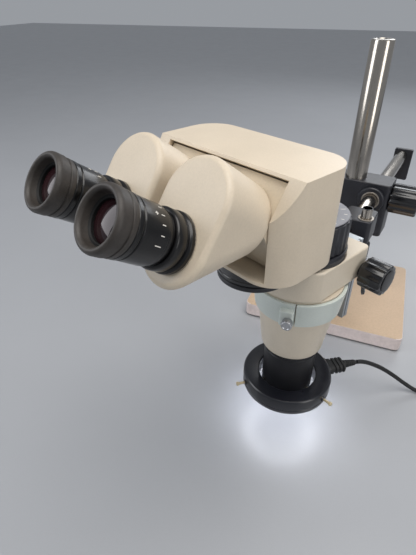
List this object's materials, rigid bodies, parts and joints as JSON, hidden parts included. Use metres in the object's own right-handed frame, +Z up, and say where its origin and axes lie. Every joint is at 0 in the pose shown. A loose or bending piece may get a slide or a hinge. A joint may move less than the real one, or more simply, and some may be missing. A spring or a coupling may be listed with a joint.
{
  "type": "stereo microscope",
  "caption": "Binocular zoom stereo microscope on a clamped boom stand with rack focus, ring light and coiled lead.",
  "frame": {"origin": "centre of the base mat's underside, on the surface the stand rests on", "axes": "+Z up along the pole, +Y from the microscope's side of the base to the back, +X to the right"},
  "size_m": [0.445, 0.7666, 0.398],
  "materials": {
    "cream_paint": "satin",
    "cream_plastic": "satin",
    "base_paint": "satin",
    "band_paint": "satin",
    "black_metal": "satin",
    "black_plastic": "gloss",
    "eyepiece_black": "gloss",
    "eyecup_rubber": "matte",
    "ring_black": "gloss",
    "rubber": "matte",
    "grey_paint": "satin",
    "chrome": "polished",
    "steel": "satin",
    "brass": "satin",
    "rail_alloy": "satin",
    "lens_glass": "polished",
    "lens_cell": "matte",
    "led_white": "matte"
  },
  "bodies": {
    "stand_base": {"base_mat": "rubber", "base_plate": "base_paint", "pole": "chrome", "pole_bolt": "steel"},
    "collar": {"pole_collar": "black_metal"},
    "collar_screw": {"collar_screw": "steel"},
    "swing_clamp": {"clamp_block": "black_metal"},
    "clamp_knob": {"clamp_knob": "black_plastic"},
    "boom": {"boom_rod": "chrome", "boom_end_plate": "black_metal"},
    "front_clamp": {"knuckle": "black_metal"},
    "knuckle_screw": {"knuckle_screw": "chrome"},
    "focus_column": {"focus_arm": "black_metal", "focus_rail": "rail_alloy", "focus_rack": "steel"},
    "carriage": {"holder": "cream_paint"},
    "focus_drive": {"focus_shaft": "steel", "focus_pinion": "brass", "focus_knob_right": "black_plastic", "focus_knob_left": "black_plastic"},
    "tension_lever": {"tension_lever": "black_plastic"},
    "pod": {"pod_cone": "cream_paint", "neck_ring": "grey_paint", "clamp_band": "band_paint", "objective_barrel": "black_metal", "objective_lens": "lens_glass", "bridge_plate": "black_metal", "head_base_drum": "black_plastic", "head_shell": "cream_plastic", "front_block": "cream_plastic", "ring_light_housing": "ring_black", "led_board": "led_white", "ring_light_diffuser": "led_white", "lead_plug": "rubber", "lead_cable": "rubber", "lead_coil": "rubber", "far_plug": "rubber"},
    "band_screw": {"band_screw": "steel"},
    "zoom_drive": {"zoom_knob": "black_plastic", "zoom_knob_cap": "grey_paint"},
    "zoom_cell_lower": {"zoom_cell_lower": "lens_cell"},
    "zoom_cell_upper": {"zoom_cell_upper": "lens_cell"},
    "eye_side_right": {"prism_housing_right": "cream_plastic", "prism_right": "lens_glass", "eyepiece_right": "eyepiece_black"},
    "diopter_right": {"diopter_ring_right": "eyepiece_black", "eyecup_right": "eyecup_rubber", "eye_lens_right": "lens_glass"},
    "eye_side_left": {"prism_housing_left": "cream_plastic", "prism_left": "lens_glass", "eyepiece_left": "eyepiece_black"},
    "diopter_left": {"diopter_ring_left": "eyepiece_black", "eyecup_left": "eyecup_rubber", "eye_lens_left": "lens_glass"},
    "ring_screw_1": {"ring_screw_1": "brass"},
    "ring_screw_2": {"ring_screw_2": "brass"},
    "ring_screw_3": {"ring_screw_3": "brass"}
  },
  "joints": [
    {"name": "collar_height", "type": "slide", "parent": "stand_base", "child": "collar", "axis": [0, 0, 1], "range_m": [-0.04, 0.15]},
    {"name": "collar_screw_turn", "type": "hinge", "parent": "collar", "child": "collar_screw", "pos_m": [0.0045, 0.0488, 0.1129], "axis": [1, 0, 0], "range_deg": [-180, 180]},
    {"name": "stand_swing", "type": "hinge", "parent": "collar", "child": "swing_clamp", "pos_m": [0.0045, 0.0488, 0.182], "axis": [0, 0, 1], "range_deg": [-90, 90]},
    {"name": "clamp_knob_turn", "type": "hinge", "parent": "swing_clamp", "child": "clamp_knob", "pos_m": [0.06236, 0.04194, 0.182], "axis": [0.9882, -0.153, 0], "range_deg": [-180, 180]},
    {"name": "boom_reach", "type": "slide", "parent": "swing_clamp", "child": "boom", "axis": [-0.153, -0.9882, 0], "range_m": [-0.06, 0.15]},
    {"name": "boom_roll", "type": "hinge", "parent": "boom", "child": "front_clamp", "pos_m": [0.02083, -0.06294, 0.182], "axis": [0.153, 0.9882, 0], "range_deg": [-30, 30]},
    {"name": "knuckle_screw_turn", "type": "hinge", "parent": "front_clamp", "child": "knuckle_screw", "pos_m": [0.0113, -0.09182, 0.18], "axis": [0.153, 0.9882, 0], "range_deg": [-180, 180]},
    {"name": "column_swivel", "type": "hinge", "parent": "front_clamp", "child": "focus_column", "pos_m": [0.0336, -0.081, 0.18], "axis": [0, 0, 1], "range_deg": [-40, 40]},
    {"name": "focus_travel", "type": "slide", "parent": "focus_column", "child": "carriage", "axis": [0, 0, 1], "range_m": [-0.04, 0.018]},
    {"name": "focus_turn", "type": "hinge", "parent": "carriage", "child": "focus_drive", "pos_m": [0.00359, -0.22729, 0.216], "axis": [0.9003, -0.4352, 0], "range_deg": [-280, 620]},
    {"name": "tension_turn", "type": "hinge", "parent": "carriage", "child": "tension_lever", "pos_m": [0.0423, -0.246, 0.216], "axis": [0.9003, -0.4352, 0], "range_deg": [-15, 20]},
    {"name": "pod_turn", "type": "hinge", "parent": "carriage", "child": "pod", "pos_m": [-0.016, -0.2678, 0.24], "axis": [0, 0, 1], "range_deg": [-108, 12]},
    {"name": "band_screw_turn", "type": "hinge", "parent": "pod", "child": "band_screw", "pos_m": [-0.01408, -0.31776, 0.19], "axis": [0.0384, -0.9993, 0], "range_deg": [-180, 180]},
    {"name": "zoom_turn", "type": "hinge", "parent": "pod", "child": "zoom_drive", "pos_m": [-0.016, -0.2678, 0.265], "axis": [0, 0, 1], "range_deg": [-130, 130]},
    {"name": "zoom_lower_travel", "type": "slide", "parent": "pod", "child": "zoom_cell_lower", "axis": [0, 0, 1], "range_m": [-0.0095, 0.0095]},
    {"name": "zoom_upper_travel", "type": "slide", "parent": "pod", "child": "zoom_cell_upper", "axis": [0, 0, 1], "range_m": [-0.0085, 0.0085]},
    {"name": "eye_spacing_right", "type": "hinge", "parent": "pod", "child": "eye_side_right", "pos_m": [-0.0435, -0.3989, 0.3278], "axis": [-0.3553, -0.7351, 0.5774], "range_deg": [-8.5, 12]},
    {"name": "diopter_right_turn", "type": "hinge", "parent": "eye_side_right", "child": "diopter_right", "pos_m": [-0.07201, -0.45787, 0.3391], "axis": [-0.3553, -0.7351, 0.5774], "range_deg": [0, 230]},
    {"name": "eye_spacing_left", "type": "hinge", "parent": "pod", "child": "eye_side_left", "pos_m": [-0.10166, -0.37078, 0.3278], "axis": [-0.3553, -0.7351, 0.5774], "range_deg": [-12, 8.5]},
    {"name": "diopter_left_turn", "type": "hinge", "parent": "eye_side_left", "child": "diopter_left", "pos_m": [-0.13017, -0.42975, 0.3391], "axis": [-0.3553, -0.7351, 0.5774], "range_deg": [0, 230]},
    {"name": "ring_screw_1_turn", "type": "hinge", "parent": "pod", "child": "ring_screw_1", "pos_m": [0.02975, -0.28798, 0.0605], "axis": [0.915, -0.4035, 0], "range_deg": [-180, 180]},
    {"name": "ring_screw_2_turn", "type": "hinge", "parent": "pod", "child": "ring_screw_2", "pos_m": [-0.0214, -0.21809, 0.0605], "axis": [-0.108, 0.9942, 0], "range_deg": [-180, 180]},
    {"name": "ring_screw_3_turn", "type": "hinge", "parent": "pod", "child": "ring_screw_3", "pos_m": [-0.05635, -0.29733, 0.0605], "axis": [-0.807, -0.5906, 0], "range_deg": [-180, 180]}
  ],
  "couplings": [
    {"joint": "focus_turn", "follows": "focus_travel", "rad_per_m": -256.41},
    {"joint": "zoom_lower_travel", "follows": "zoom_turn", "m_per_rad": 0.004},
    {"joint": "zoom_upper_travel", "follows": "zoom_turn", "m_per_rad": -0.0035},
    {"joint": "eye_spacing_left", "follows": "eye_spacing_right", "ratio": -1}
  ]
}
